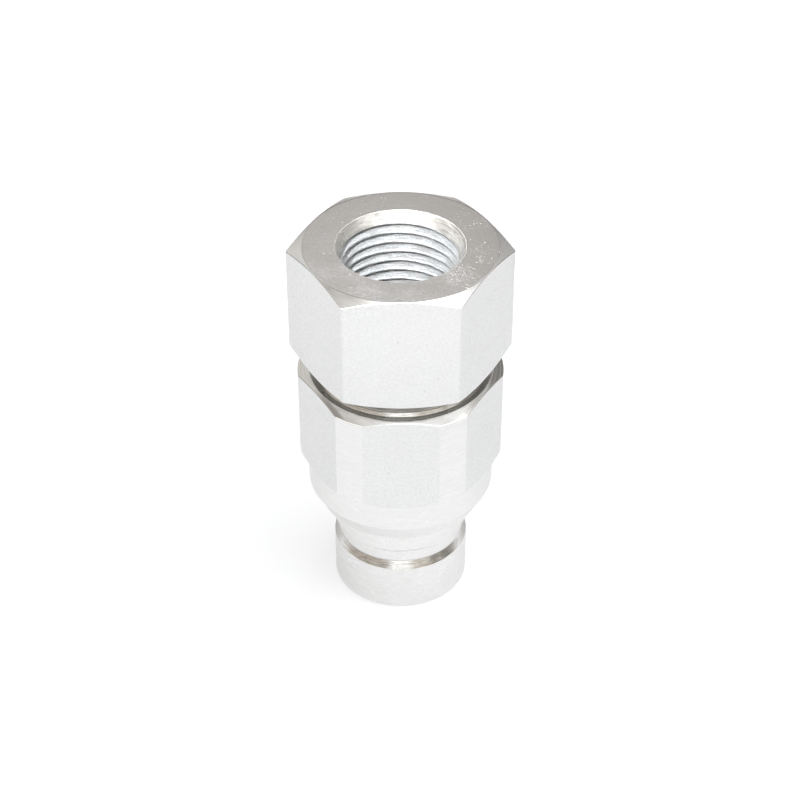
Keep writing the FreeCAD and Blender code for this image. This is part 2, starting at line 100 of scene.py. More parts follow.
# studio: a pale floor, a soft room, two softboxes and a narrow light for the port; lengths in metres
studio = {
    "floorRadius": 0.36, "floorSides": 96,
    "floorHeight": -0.00002,         # just clear of the nose's front face
    "floorTint": "cdcfd2",
    "floorSeen": 0.45,               # the sweep's own white for the camera; light and shadow come on top
    "floorMirrored": 0.365,          # the same for what the metal mirrors
    "floorFalloff": 0.07,            # painted shade: how much less of that white the metal mirrors behind the part
    "falloffSpan": (-0.025, 0.030),  # where that starts and ends, from front to back
    "horizon": "87827c",             # grey room behind the table
    "wall": "b2ada9",                # warm grey walls, which the faced top mirrors
    "cove": "ffffff",                # lighter strip where the walls meet the ceiling
    "ceiling": "cfcdca",
    # what the room shows at each height, where 0 is level with the part and 1 is straight up
    "heights": [(0.30, "horizon"), (0.48, "wall"), (0.546, "wall"), (0.563, "cove"), (0.62, "cove"),
                (0.80, "wall")],
    "ceilingHeight": 0.97,
    # soft sources: direction x, y, z, half width in degrees, soft edge in degrees, tint, strength
    "sources": [
        ((0.17, 0.03, 1.0), 15, 7, "ffffff", 3.2),         # softbox overhead
        ((0.58, 0.02, 0.82), 12, 10, "ffffff", 1.6),       # its bounce on the ceiling, right
        ((-0.50, 0.20, 0.84), 13, 12, "a5a19b", 1.0),      # darker ceiling, left
        ((0.145, 0.81, 0.56), 3, 5, "a5a19d", 1.0),        # darker wall behind, right
        ((-0.16, 0.80, 0.56), 3, 5, "b0aca8", 1.0),        # the same on the left, less dark
        ((0.02, -0.935, 0.342), 15, 20, "ffffff", 1.32),   # window low in front
        ((0.54, -0.78, 0.31), 9, 14, "e6e1d8", 0.95),      # cream walls beside the window
        ((-0.54, -0.78, 0.31), 9, 14, "d2ccc5", 0.95),
        ((0.88, -0.40, 0.30), 6, 6, "efece6", 1.0),        # bright side of the room, right
        ((-0.93, -0.30, 0.15), 22, 18, "bfb7ad", 1.0),     # taupe wall, left
        ((-0.47, 0.79, 0.40), 9, 12, "e2e0dc", 1.0),       # paler corner behind, left
        ((0.47, 0.79, 0.40), 9, 12, "b2b1af", 1.0),        # darker corner behind, right
    ],
    # softboxes at both sides: place, width, watts, and what they aim at
    "softboxes": [("leftSoftbox", (-0.66, -0.40, 0.72), 0.7, 2.1),
                  ("rightSoftbox", (0.66, -0.40, 0.72), 0.7, 2.0)],
    "softboxAim": (0, 0, 0.035),
    # snoot that looks down the port: place, aim, beam in degrees, soft share of the beam, lamp size, watts
    "snootPlace": (-0.10, -0.46, 0.50), "snootAim": (0.0030, 0.0088, 0.056), "snootBeam": 1.8,
    "snootBlend": 0.8, "snootSize": 0.02, "snootPower": 235.0,
}


def buildFloor():
    turns = [2 * math.pi * i / studio["floorSides"] for i in range(studio["floorSides"])]
    radius, height = studio["floorRadius"], studio["floorHeight"]
    rim = [(radius * math.cos(turn), radius * math.sin(turn), height) for turn in turns]
    mesh = bpy.data.meshes.new("studioFloor")
    mesh.from_pydata(rim, [], [list(range(len(rim)))])
    material, tree = startMaterial("paperSweepMatt")  # matt white paper, seen as plain white
    rays = addNode(tree, "LightPath")
    mirrored = addNode(tree, "Math", {
        "operation": "MAXIMUM", 0: rays.outputs["Is Glossy Ray"], 1: rays.outputs["Is Transmission Ray"]})
    place = addNode(tree, "TexCoord")
    parts = addNode(tree, "SeparateXYZ", {0: place.outputs["Object"]})
    # painted shade: the white the metal mirrors falls off behind the part
    nearest, farthest = studio["falloffSpan"]
    falloff = addNode(tree, "MapRange", {
        "interpolation_type": "SMOOTHSTEP", "Value": parts.outputs["Y"], "From Min": nearest,
        "From Max": farthest, "To Min": studio["floorMirrored"],
        "To Max": studio["floorMirrored"] - studio["floorFalloff"]})
    forMirror = addNode(tree, "Math", {"operation": "MULTIPLY", 0: mirrored, 1: falloff})
    strength = addNode(tree, "Math", {
        "operation": "MULTIPLY_ADD", 0: rays.outputs["Is Camera Ray"], 1: studio["floorSeen"], 2: forMirror})
    paper = addNode(tree, "BsdfDiffuse", {"Color": hexToLinear(studio["floorTint"])})
    white = addNode(tree, "Emission", {"Color": (1, 1, 1, 1), "Strength": strength})
    lit = addNode(tree, "AddShader", {0: paper, 1: white})
    # clear from below, so that the nose's front face can be seen
    side = addNode(tree, "NewGeometry")
    clear = addNode(tree, "BsdfTransparent")
    sheet = addNode(tree, "MixShader", {0: side.outputs["Backfacing"], 1: lit, 2: clear})
    addNode(tree, "OutputMaterial", {"Surface": sheet})
    mesh.materials.append(material)
    placeObject("studioFloor", mesh)


def buildRoom():
    world = bpy.data.worlds.new("softRoom")
    world.use_nodes = True
    tree = world.node_tree
    tree.nodes.clear()
    place = addNode(tree, "TexCoord")
    parts = addNode(tree, "SeparateXYZ", {0: place.outputs["Generated"]})
    heights = addNode(tree, "ValToRGB", {0: parts.outputs["Z"]})
    ramp = heights.color_ramp
    ramp.interpolation = "EASE"
    ramp.elements[0].color = hexToLinear(studio["horizon"])
    ramp.elements[1].position = studio["ceilingHeight"]
    ramp.elements[1].color = hexToLinear(studio["ceiling"])
    for spot, surface in studio["heights"]:
        stop = ramp.elements.new(spot)
        stop.color = hexToLinear(studio[surface])
    colour = heights.outputs["Color"]
    for direction, halfWidth, softEdge, tint, strength in studio["sources"]:
        length = math.sqrt(sum(c * c for c in direction))
        along = addNode(tree, "VectorMath", {
            "operation": "DOT_PRODUCT", 0: place.outputs["Generated"],
            1: tuple(c / length for c in direction)})
        inside = addNode(tree, "MapRange", {
            "interpolation_type": "SMOOTHSTEP", "Value": along.outputs["Value"],
            "From Min": math.cos(math.radians(halfWidth + softEdge)),
            "From Max": math.cos(math.radians(halfWidth))})
        glow = [c * strength for c in hexToLinear(tint)[:3]] + [1.0]
        blend = addNode(tree, "Mix", {"data_type": "RGBA", 0: inside, 6: colour, 7: glow})
        colour = blend.outputs[2]
    rays = addNode(tree, "LightPath")
    backdrop = addNode(tree, "Mix", {
        "data_type": "RGBA", 0: rays.outputs["Is Camera Ray"], 6: colour, 7: (1, 1, 1, 1)})
    room = addNode(tree, "Background", {"Strength": 1.0, "Color": backdrop.outputs[2]})
    addNode(tree, "OutputWorld", {"Surface": room})
    bpy.context.scene.world = world


def hangLamp(name, data, place, target):
    lamp = bpy.data.objects.new(name, data)
    lamp.location = place
    lamp.rotation_euler = (Vector(target) - Vector(place)).to_track_quat("-Z", "Y").to_euler()
    bpy.context.scene.collection.objects.link(lamp)


def hangLamps():
    for name, place, width, power in studio["softboxes"]:
        data = bpy.data.lights.new(name, "AREA")
        data.size = width
        data.energy = power
        hangLamp(name, data, place, studio["softboxAim"])
    data = bpy.data.lights.new("portSnoot", "SPOT")
    data.energy = studio["snootPower"]
    data.spot_size = math.radians(studio["snootBeam"])
    data.spot_blend = studio["snootBlend"]
    data.shadow_soft_size = studio["snootSize"]
    hangLamp("portSnoot", data, studio["snootPlace"], studio["snootAim"])


buildFloor()
buildRoom()
hangLamps()
bpy.context.scene.view_settings.view_transform = "Standard"
print("studio built")


# how far a pattern moves on as it runs round the part, in millimetres: little for a tool's long lines, more
# for smears
ringDrift = {"toolLines": 1.2, "smears": 6.0}


def ringCoordinates(tree):
    # the plain place, and two of distance from the axis, height and a slow change round the axis
    place = addNode(tree, "TexCoord")
    parts = addNode(tree, "SeparateXYZ", {0: place.outputs["Object"]})
    flat = addNode(tree, "CombineXYZ", {0: parts.outputs["X"], 1: parts.outputs["Y"]})
    radius = addNode(tree, "VectorMath", {"operation": "LENGTH", 0: flat})
    unit = addNode(tree, "VectorMath", {"operation": "NORMALIZE", 0: flat})
    turned = addNode(tree, "SeparateXYZ", {0: unit})
    rings = {}
    for use, drift in ringDrift.items():
        slow = addNode(tree, "Math", {"operation": "MULTIPLY", 0: turned.outputs["X"], 1: drift * mm})
        ring = addNode(tree, "CombineXYZ", {0: radius.outputs["Value"], 1: parts.outputs["Z"], 2: slow})
        rings[use] = ring
    return place.outputs["Object"], rings["toolLines"], rings["smears"]


# rear adaptor: sizes in millimetres, slopes in degrees from level
adaptor = {
    "flats": 32.0, "cornerRound": 0.65,
    "seat": 47.53, "top": 68.40,
    "lowFace": 15.40, "lowSlope": 25.8, "topFace": 15.86, "topSlope": 24.9,
    "collar": 14.50, "collarNeck": 14.15, "collarFoot": 0.63, "oilLine": 1.35, "bodyTop": 44.90,
    "mouth": 10.48, "sinkSlope": 60.0, "passage": 8.20, "flare": 9.80,
    # spigot in the body; the seal's groove is measured up from its end, the joint down from the body's top
    "spigotEnd": 30.20, "spigot": 12.37, "spigotEdge": 0.5,
    "sealGroove": 10.90, "sealLow": 1.0, "sealHigh": 4.35,
    "relief": 11.80, "reliefSpan": (8.3, 7.7),
    "jointThread": 12.97, "jointSpan": (6.53, 1.40), "jointNeck": 0.80,
    # female thread: rounded crests and roots of a pipe thread
    "pitch": 1.8143, "threadCrest": 9.32, "threadRoot": 10.48, "threadFoot": 50.391,
    "threadRound": 0.249, "flankAngle": 27.5,
    "grooveAtBack": 65.62,     # height of one groove where it passes +Y
    "firstGroove": 66.62,      # the groove starts here, in the countersink
    "grooveFade": 0.45,        # and reaches its full depth this far below
    "runOut": 1.2,             # pitches over which it fades out at the foot
    "mouthEdge": 0.12,         # the thread's rows end this far below the top, where the mouth is rounded
    "nearCorner": [0.0, 0.3, 0.6, 0.85, 1.02, 1.5],  # degrees from a corner at which the bar has columns
}

# Bright zinc plate, 8 to 12 micrometres of electroplated zinc with a clear passivation: a pale, faintly
# blue-white metal that follows every mark of the steel under it.
# mottle and lineWidth are in millimetres; the other numbers are shares and bump heights
commonZinc = {"mottle": 0.7, "lineWidth": 0.30, "lineTone": 0.05, "pits": 0.0, "smear": 0.03,
              "passivation": 0.04, "flecks": False, "streaks": 0.0, "turned": True, "metallic": 1.0}
# what each face has of its own
zincFinishes = {
    # cold-drawn hexagon bar: satin flats with a fine orange-peel mottle and a few pits from the plating bath
    "zincOnDrawnBar": {"tint": "efefef", "shade": "e2e2e1", "rough": 0.38, "mottle": 0.42,
                       "mottleBump": 0.016, "lines": 0.0, "lineTone": 0.0, "pits": 1.0, "smear": 0.015,
                       "turned": False},
    # turned on a lathe: smoother and brighter, with the tool's fine rings
    "zincOnTurning": {"tint": "f0f0ef", "shade": "ecebea", "rough": 0.30, "mottleBump": 0.001, "lines": 0.003,
                      "lineWidth": 0.45, "lineTone": 0.035, "smear": 0.012, "passivation": 0.02},
    # chamfers cut on the hexagons' corners: painted lighter than the other faces, standing in for the bright
    # light they mirror, with painted shade towards their left and right ends
    "zincOnChamfer": {"tint": "fdfdfc", "shade": "f1f0ee", "rough": 0.20, "mottle": 0.8, "mottleBump": 0.003,
                      "lines": 0.008, "pits": 0.2, "streaks": 0.3},
    # faced off in one cut: nearly a mirror seen from afar, with concentric marks, scratches, and flecks that
    # are dents painted white as glints
    "zincOnFacing": {"tint": "e8e7e6", "shade": "e1dfdd", "rough": 0.20, "mottle": 0.5, "mottleBump": 0.003,
                     "lines": 0.005, "smear": 0.04, "flecks": True, "streaks": 1.4, "turned": False},
    # countersink, cut after the bore: pale and satin, cloudy where the tool chattered
    "zincOnCountersink": {"tint": "e0e0de", "shade": "9f9e9b", "rough": 0.34, "mottleBump": 0.02,
                          "lines": 0.08, "lineWidth": 0.26, "lineTone": 0.80, "smear": 0.16, "metallic": 0.5},
    # thread cut with a tap: frosty bright flanks with a blue cast and fine tear marks
    "zincOnTapping": {"tint": "f2f5f8", "shade": "9fa6ad", "rough": 0.34, "mottle": 0.22, "mottleBump": 0.16,
                      "lines": 0.10, "lineTone": 0.60, "turned": False, "metallic": 0.50},
    # turned faces deep in the gap: a dark mirror, its tint darkened as painted shade
    "zincInRecess": {"tint": "97958f", "shade": "7e7c77", "rough": 0.22, "mottleBump": 0.002, "lines": 0.01,
                     "lineWidth": 0.34, "lineTone": 0.2, "pits": 0.2, "passivation": 0.05},
    # burnished by the sleeve's balls: the smoothest ring, with fine bright and dull lines
    "zincOnBurnish": {"tint": "f8f7f5", "shade": "e2dfdb", "rough": 0.15, "mottle": 0.5, "mottleBump": 0.001,
                      "lines": 0.02, "lineWidth": 0.16, "lineTone": 0.45, "smear": 0.02},
}

# marks in the plate, sizes in millimetres. A span is the two noise levels between which a change runs, an
# edge is where a mark starts and is full, as shares of its cell, and a miss is the share of cells left empty
plateMarks = {
    "grainSpan": (0.30, 0.70), "grainRough": (0.05, -0.04),  # roughness added where grain is low and high
    "smearSize": 4.5, "smearSpan": (0.35, 0.65), "smearTint": "cbc9c5", "smearShow": 3,
    "patchSize": 9.0, "yellowSpan": (0.50, 0.74), "yellowTint": "eef0df",
    "blueSpan": (0.48, 0.26), "blueTint": "dfe6ee",
    "pitCell": 2.1, "pitEdge": (0.08, 0.045), "pitMiss": 0.72, "pitTint": "8c8a86", "pitShow": 0.42,
    "pitDepth": 0.012,
    "lineSpan": (0.58, 0.40), "lineTint": "8b8984",
    # painted shade and painted dark reflections towards one side of a face: finish, direction, where it
    # starts and is full that way, tint, share
    "paintedSideShades": [("zincOnChamfer", (-0.92, -0.39, 0), 8.0, 14.0, "bcb7b1", 0.55),
               ("zincOnChamfer", (0.99, -0.14, 0), 12.5, 15.5, "8a8681", 0.9),
               ("zincOnBurnish", (-0.94, 0.34, 0), 8.0, 11.0, "7d7972", 0.85),
               ("zincOnBurnish", (0.94, 0.34, 0), 8.0, 11.0, "7a7772", 0.85),
               ("zincOnCountersink", (-0.97, 0.25, 0), 6.5, 9.5, "85837f", 0.75)],
    "paintedShadeLift": 1.6,      # makes up for the tool lines that break up the painted shade
    # flecks on the faced top, dents painted white and matt as glints: centre, reach, how crowded
    "fleckPlaces": [((9.0, -8.4), 3.9, 1.00), ((13.6, -2.4), 4.4, 0.36), ((11.5, 7.0), 5.0, 0.16),
                    ((-12.6, 8.5), 3.5, 0.10)],
    "fleckCore": 0.3, "fleckStray": 0.02,     # share of the reach that is fully crowded; stray flecks
    "fleckCell": 0.22, "fleckEdge": (0.48, 0.15), "fleckTint": "ffffff", "fleckShow": 0.66,
    "fleckSpread": 0.8, "fleckMatt": 0.9,     # how evenly their strengths spread, and how little they mirror
    "streakCell": (3.2, 0.42), "streakTurn": 16.0, "streakEdge": (0.17, 0.06), "streakMiss": 0.80,
    "streakTint": "ffffff", "streakShow": 0.6, "streakDepth": 0.05,
    # the last tint on the next line is painted shade for inside corners, thread roots and recesses
    "wornTint": "fafaf9", "wornShow": 0.55, "wornSmooth": 0.10, "paintedShadeTint": "6a665f",
    "bumpDistance": 0.5,
}


def platePits(tree, place):
    # dark specks up to 0.3 mm wide, one in every 10 mm square or so
    low, full = plateMarks["pitEdge"]
    cells = addNode(tree, "TexVoronoi", {"Vector": place, "Scale": 1 / (plateMarks["pitCell"] * mm)})
    speck = addNode(tree, "MapRange", {
        "Value": cells.outputs["Distance"], "From Min": low, "From Max": full})
    chance = addNode(tree, "SeparateColor", {0: cells.outputs["Color"]})
    chosen = addNode(tree, "Math", {
        "operation": "GREATER_THAN", 0: chance.outputs[0], 1: plateMarks["pitMiss"]})
    pit = addNode(tree, "Math", {"operation": "MULTIPLY", 0: speck, 1: chosen})
    return pit


def platePaintedSideShades(tree, name, place, lines):
    # painted shade and painted dark reflections towards one side of the part, broken up along the tool's
    # lines
    filmAndShadeLayers = []
    for finish, direction, start, full, tint, share in plateMarks["paintedSideShades"]:
        if finish == name:
            along = addNode(tree, "VectorMath", {"operation": "DOT_PRODUCT", 0: place, 1: direction})
            reach = addNode(tree, "MapRange", {
                "Value": along.outputs["Value"], "From Min": start * mm, "From Max": full * mm,
                "To Max": share * plateMarks["paintedShadeLift"]})
            paintedSideLayer = addNode(tree, "Math", {"operation": "MULTIPLY", "use_clamp": True, 0: reach, 1: lines})
            filmAndShadeLayers.append((paintedSideLayer, tint))
    return filmAndShadeLayers


def plateFlecks(tree, place):
    # dents up to 0.2 mm wide where the face was knocked, crowded in a few places, painted white and matt as
    # glints
    m = plateMarks
    crowd = m["fleckStray"]
    for (x, y), reach, share in m["fleckPlaces"]:
        away = addNode(tree, "VectorMath", {
            "operation": "DISTANCE", 0: place, 1: (x * mm, y * mm, adaptor["top"] * mm)})
        near = addNode(tree, "MapRange", {
            "interpolation_type": "SMOOTHSTEP", "Value": away.outputs["Value"], "From Min": reach * mm,
            "From Max": reach * m["fleckCore"] * mm, "To Max": share})
        crowd = addNode(tree, "Math", {"operation": "MAXIMUM", 0: near, 1: crowd})
    low, full = m["fleckEdge"]
    dots = addNode(tree, "TexVoronoi", {"Vector": place, "Scale": 1 / (m["fleckCell"] * mm)})
    dot = addNode(tree, "MapRange", {
        "Value": dots.outputs["Distance"], "From Min": low, "From Max": full, "To Max": m["fleckShow"]})
    luck = addNode(tree, "SeparateColor", {0: dots.outputs["Color"]})
    landed = addNode(tree, "Math", {"operation": "LESS_THAN", 0: luck.outputs[0], 1: crowd})
    fleck = addNode(tree, "Math", {"operation": "MULTIPLY", 0: dot, 1: landed})
    depth = addNode(tree, "Math", {"operation": "POWER", 0: luck.outputs[1], 1: m["fleckSpread"]})
    share = addNode(tree, "Math", {"operation": "MULTIPLY", 0: fleck, 1: depth})
    return share


def plateStreaks(tree, place, share):
    # fine straight scratches about 1 mm long, drawn 0.1 mm wide so that they show
    length, width = plateMarks["streakCell"]
    low, full = plateMarks["streakEdge"]
    lay = addNode(tree, "Mapping", {
        "Vector": place, "Scale": (1 / (length * mm), 1 / (width * mm), 0),
        "Rotation": (0, 0, math.radians(plateMarks["streakTurn"]))})
    strands = addNode(tree, "TexVoronoi", {"Vector": lay, "Scale": 1.0})
    strand = addNode(tree, "MapRange", {
        "Value": strands.outputs["Distance"], "From Min": low, "From Max": full})
    pick = addNode(tree, "SeparateColor", {0: strands.outputs["Color"]})
    picked = addNode(tree, "Math", {
        "operation": "GREATER_THAN", 0: pick.outputs[0], 1: plateMarks["streakMiss"]})
    scratch = addNode(tree, "Math", {"operation": "MULTIPLY", 0: strand, 1: picked})
    streak = addNode(tree, "Math", {
        "operation": "MULTIPLY", 0: scratch, 1: share * plateMarks["streakShow"]})
    return streak


def zincPlate(name, look):
    m = plateMarks
    material, tree = startMaterial(name)
    place, ring, smearRing = ringCoordinates(tree)
    around = smearRing if look["turned"] else place

    # mottle: grain of the plating
    grain = addNode(tree, "TexNoise", {
        "Vector": around, "Scale": 1 / (look["mottle"] * mm), "Detail": 4.0, "Roughness": 0.6})
    grainShare = addNode(tree, "MapRange", {
        "Value": grain.outputs["Fac"], "From Min": m["grainSpan"][0], "From Max": m["grainSpan"][1]})
    body = addNode(tree, "Mix", {
        "data_type": "RGBA", 0: grainShare, 6: hexToLinear(look["shade"]), 7: hexToLinear(look["tint"])})

    # smears: cloudy change of brightness over a few millimetres
    cloud = addNode(tree, "TexNoise", {
        "Vector": around, "Scale": 1 / (m["smearSize"] * mm), "Detail": 3.0, "Roughness": 0.55})
    cloudShare = addNode(tree, "MapRange", {
        "Value": cloud.outputs["Fac"], "From Min": m["smearSpan"][0], "From Max": m["smearSpan"][1],
        "To Max": look["smear"] * m["smearShow"]})

    # passivation: thin clear film, faintly yellow and blue in patches
    patches = addNode(tree, "TexNoise", {
        "Vector": place, "Scale": 1 / (m["patchSize"] * mm), "Detail": 2.0, "Distortion": 0.6})
    filmAndShadeLayers = [addNode(tree, "MapRange", {
        "Value": patches.outputs["Fac"], "From Min": start, "From Max": full,
        "To Max": look["passivation"]}) for start, full in (m["yellowSpan"], m["blueSpan"])]

    pit = platePits(tree, place)
    pitShare = addNode(tree, "Math", {"operation": "MULTIPLY", 0: pit, 1: look["pits"] * m["pitShow"]})

    # turning marks: a real feed is 0.1 mm, drawn two to five times as wide so that it shows; they are ridges
    # and also a change of tone
    marks = addNode(tree, "TexNoise", {
        "Vector": ring, "Scale": 1 / (look["lineWidth"] * mm), "Detail": 3.0, "Roughness": 0.7})
    lineShare = addNode(tree, "MapRange", {
        "Value": marks.outputs["Fac"], "From Min": m["lineSpan"][0], "From Max": m["lineSpan"][1],
        "To Max": look["lineTone"]})
    streak = plateStreaks(tree, place, look["streaks"])

    # wear: edges rubbed bright; painted shade darkens inside corners, thread roots and recesses
    edge = addNode(tree, "Attribute", {"attribute_name": "edgeShare"})
    rubbed = addNode(tree, "Math", {"operation": "MULTIPLY", 0: edge.outputs["Fac"], 1: m["wornShow"]})
    paintedShade = addNode(tree, "Attribute", {"attribute_name": "paintedShadeShare"})

    # colour: one layer over the other, each with its share and tint
    layers = [(cloudShare, m["smearTint"]), (filmAndShadeLayers[0], m["yellowTint"]), (filmAndShadeLayers[1], m["blueTint"]),
              (pitShare, m["pitTint"]), (lineShare, m["lineTint"])]
    # painted shade and painted dark reflections towards one side of some faces
    layers += platePaintedSideShades(tree, name, place, marks.outputs["Fac"])
    metallic = look["metallic"]
    if look["flecks"]:
        fleck = plateFlecks(tree, place)
        layers.append((fleck, m["fleckTint"]))
        metallic = addNode(tree, "Math", {
            "operation": "MULTIPLY_ADD", 0: fleck, 1: -m["fleckMatt"] * metallic, 2: metallic})
    # the last layer is painted shade in inside corners, thread roots and recesses
    layers += [(streak, m["streakTint"]), (rubbed, m["wornTint"]), (paintedShade.outputs["Fac"], m["paintedShadeTint"])]
    skin = body.outputs[2]
    for share, tint in layers:
        layer = addNode(tree, "Mix", {"data_type": "RGBA", 0: share, 6: skin, 7: hexToLinear(tint)})
        skin = layer.outputs[2]

    # relief: grain, tool lines, pits and scratches
    height = addNode(tree, "Math", {
        "operation": "MULTIPLY", 0: grain.outputs["Fac"], 1: look["mottleBump"]})
    for pattern, rise in ((marks.outputs["Fac"], look["lines"]), (pit, -m["pitDepth"] * look["pits"]),
                          (streak, -m["streakDepth"])):
        height = addNode(tree, "Math", {"operation": "MULTIPLY_ADD", 0: pattern, 1: rise, 2: height})
    bump = addNode(tree, "Bump", {"Strength": 1.0, "Distance": m["bumpDistance"] * mm, "Height": height})

    # roughness follows the grain and the smears, and rubbed edges are smoother
    fineRough = addNode(tree, "MapRange", {
        "Value": grain.outputs["Fac"], "From Min": m["grainSpan"][0], "From Max": m["grainSpan"][1],
        "To Min": look["rough"] + m["grainRough"][0], "To Max": look["rough"] + m["grainRough"][1]})
    wideRough = addNode(tree, "MapRange", {
        "Value": cloud.outputs["Fac"], "From Min": m["smearSpan"][0], "From Max": m["smearSpan"][1],
        "To Min": -look["smear"], "To Max": look["smear"]})
    rough = addNode(tree, "Math", {"operation": "ADD", 0: fineRough, 1: wideRough})
    rough = addNode(tree, "Math", {
        "operation": "MULTIPLY_ADD", 0: edge.outputs["Fac"], 1: -m["wornSmooth"], 2: rough})
    shader = addNode(tree, "BsdfPrincipled", {
        "Base Color": skin, "Metallic": metallic, "Roughness": rough, "Normal": bump})
    addNode(tree, "OutputMaterial", {"Surface": shader})
    return material


# seals, springs and plain steel, sizes in millimetres; a span is the two noise levels a change runs between
plainPatterns = {"cloudSize": 3.0, "lineWidth": 0.28, "bumpDistance": 0.5, "span": (0.3, 0.7),
                 "cloudShow": 0.5, "grainShow": 0.5, "roughSpread": (-0.05, 0.06)}
plainFinishes = {
    # free-cutting steel, turned and oiled: grey metal with clear tool rings
    "oiledTurnedSteel": {"tint": "b9b7b3", "shade": "9c9a96", "metallic": 1.0, "rough": 0.30, "grain": 0.8,
                         "lines": 0.05, "bump": 0.03},
    # drawn spring wire, phosphated: dark grey with a fine dry grain
    "phosphatedSpringWire": {"tint": "77767a", "shade": "5a595d", "metallic": 1.0, "rough": 0.42,
                             "grain": 0.3, "lines": 0.0, "bump": 0.05},
    # nitrile rubber, moulded: nearly black, matt, with a faint bloom
    "mouldedNitrile": {"tint": "242426", "shade": "17171a", "metallic": 0.0, "rough": 0.60, "grain": 0.5,
                       "lines": 0.0, "bump": 0.03},
    # PTFE, cut from bar: milky white and waxy
    "machinedPtfe": {"tint": "efeeea", "shade": "e2e0da", "metallic": 0.0, "rough": 0.38, "grain": 0.6,
                     "lines": 0.03, "bump": 0.02},
}


def plainFinish(name, look):
    m = plainPatterns
    low, full = m["span"]
    smoother, rougher = m["roughSpread"]
    material, tree = startMaterial(name)
    place, ring, _ = ringCoordinates(tree)
    grain = addNode(tree, "TexNoise", {"Vector": place, "Scale": 1 / (look["grain"] * mm), "Detail": 4.0})
    cloud = addNode(tree, "TexNoise", {"Vector": place, "Scale": 1 / (m["cloudSize"] * mm), "Detail": 2.0})
    marks = addNode(tree, "TexNoise", {"Vector": ring, "Scale": 1 / (m["lineWidth"] * mm), "Detail": 2.0})
    cloudShare = addNode(tree, "MapRange", {
        "Value": cloud.outputs["Fac"], "From Min": low, "From Max": full, "To Max": m["cloudShow"]})
    share = addNode(tree, "Math", {
        "operation": "MULTIPLY_ADD", 0: grain.outputs["Fac"], 1: m["grainShow"], 2: cloudShare})
    colour = addNode(tree, "Mix", {
        "data_type": "RGBA", 0: share, 6: hexToLinear(look["shade"]), 7: hexToLinear(look["tint"])})
    rough = addNode(tree, "MapRange", {
        "Value": cloud.outputs["Fac"], "From Min": low, "From Max": full,
        "To Min": look["rough"] + smoother, "To Max": look["rough"] + rougher})
    relief = addNode(tree, "Math", {"operation": "MULTIPLY", 0: grain.outputs["Fac"], 1: look["bump"]})
    ridges = addNode(tree, "Math", {
        "operation": "MULTIPLY_ADD", 0: marks.outputs["Fac"], 1: look["lines"], 2: relief})
    bump = addNode(tree, "Bump", {"Strength": 1.0, "Distance": m["bumpDistance"] * mm, "Height": ridges})
    shader = addNode(tree, "BsdfPrincipled", {
        "Base Color": colour.outputs[2], "Metallic": look["metallic"], "Roughness": rough, "Normal": bump})
    addNode(tree, "OutputMaterial", {"Surface": shader})
    return material


zinc = {name: zincPlate(name, {**commonZinc, **look}) for name, look in zincFinishes.items()}
plain = {name: plainFinish(name, look) for name, look in plainFinishes.items()}
print("materials made")


# turned and milled pieces are made as columns of points round the axis
def hexagonReach(angles, flats, cornerRound):
    # distance from the axis to the bar's skin, with the rolled corners of drawn bar
    half = flats / 2
    toFlat = np.mod(angles, math.pi / 3) - math.pi / 6
    toCorner = math.pi / 6 - np.abs(toFlat)
    centre = (half - cornerRound) / math.cos(math.pi / 6)
    limit = math.atan2(cornerRound * 0.5, centre + cornerRound * math.cos(math.pi / 6))
    inside = np.maximum(cornerRound ** 2 - (centre * np.sin(toCorner)) ** 2, 0)
    rounded = centre * np.cos(toCorner) + np.sqrt(inside)
    return np.where(toCorner < limit, rounded, half / np.cos(toFlat))


def columnAngles(nearCorner):
    # angles round the axis: dense where the bar's corners bend, every 2.5 degrees elsewhere
    spacing, clearance = 2.5, 0.8
    between = [a for a in np.arange(spacing, 30, spacing) if min(abs(a - b) for b in nearCorner) > clearance]
    half = sorted(set([0.0, 30.0] + nearCorner + between))
    sector = sorted(set([-a for a in half if a < 30] + half))
    angles = [60 * k + a for k in range(6) for a in sector]
    return np.radians(np.array(angles))


def softenLoop(corners, columns):
    # each corner is (radius, height, softness, finish of the side after it, painted shade in that corner); it
    # is rounded over its softness, or less where a side is short
    count, steps, mostOfSide = len(corners), 3, 0.45
    radii = [np.broadcast_to(np.asarray(c[0], float), (columns,)) for c in corners]
    heights = [np.broadcast_to(np.asarray(c[1], float), (columns,)) for c in corners]
    rows, edges, paintedShades, finishes = [], [], [], []
    for i, (_, _, softness, finish, paintedShade) in enumerate(corners):
        here = np.stack([radii[i], heights[i]], 1)
        before = np.stack([radii[i - 1], heights[i - 1]], 1) - here
        after = np.stack([radii[(i + 1) % count], heights[(i + 1) % count]], 1) - here
        farBefore = np.linalg.norm(before, axis=1, keepdims=True)
        farAfter = np.linalg.norm(after, axis=1, keepdims=True)
        start = here + before / farBefore * np.minimum(softness, mostOfSide * farBefore)
        end = here + after / farAfter * np.minimum(softness, mostOfSide * farAfter)
        turnsOut = before[:, 0] * after[:, 1] - before[:, 1] * after[:, 0]
        for step in range(steps + 1):
            t = step / steps
            rows.append(start * (1 - t) ** 2 + here * 2 * t * (1 - t) + end * t ** 2)
            middle = 1 - abs(2 * t - 1)
            edges.append(middle if turnsOut.mean() < 0 and not paintedShade else 0)  # only outer corners are rubbed
            paintedShades.append(paintedShade * middle)
            finishes.append(finish)
    return np.stack(rows, 1), np.array(edges), np.array(paintedShades), finishes


def gridFaces(columns, rows, closedRows, wrap=True):
    faces = []
    for c in range(columns if wrap else columns - 1):
        here, there = c * rows, (c + 1) % columns * rows
        for r in range(rows if closedRows else rows - 1):
            nextRow = (r + 1) % rows
            faces.append((here + r, there + r, there + nextRow, here + nextRow))
    return faces


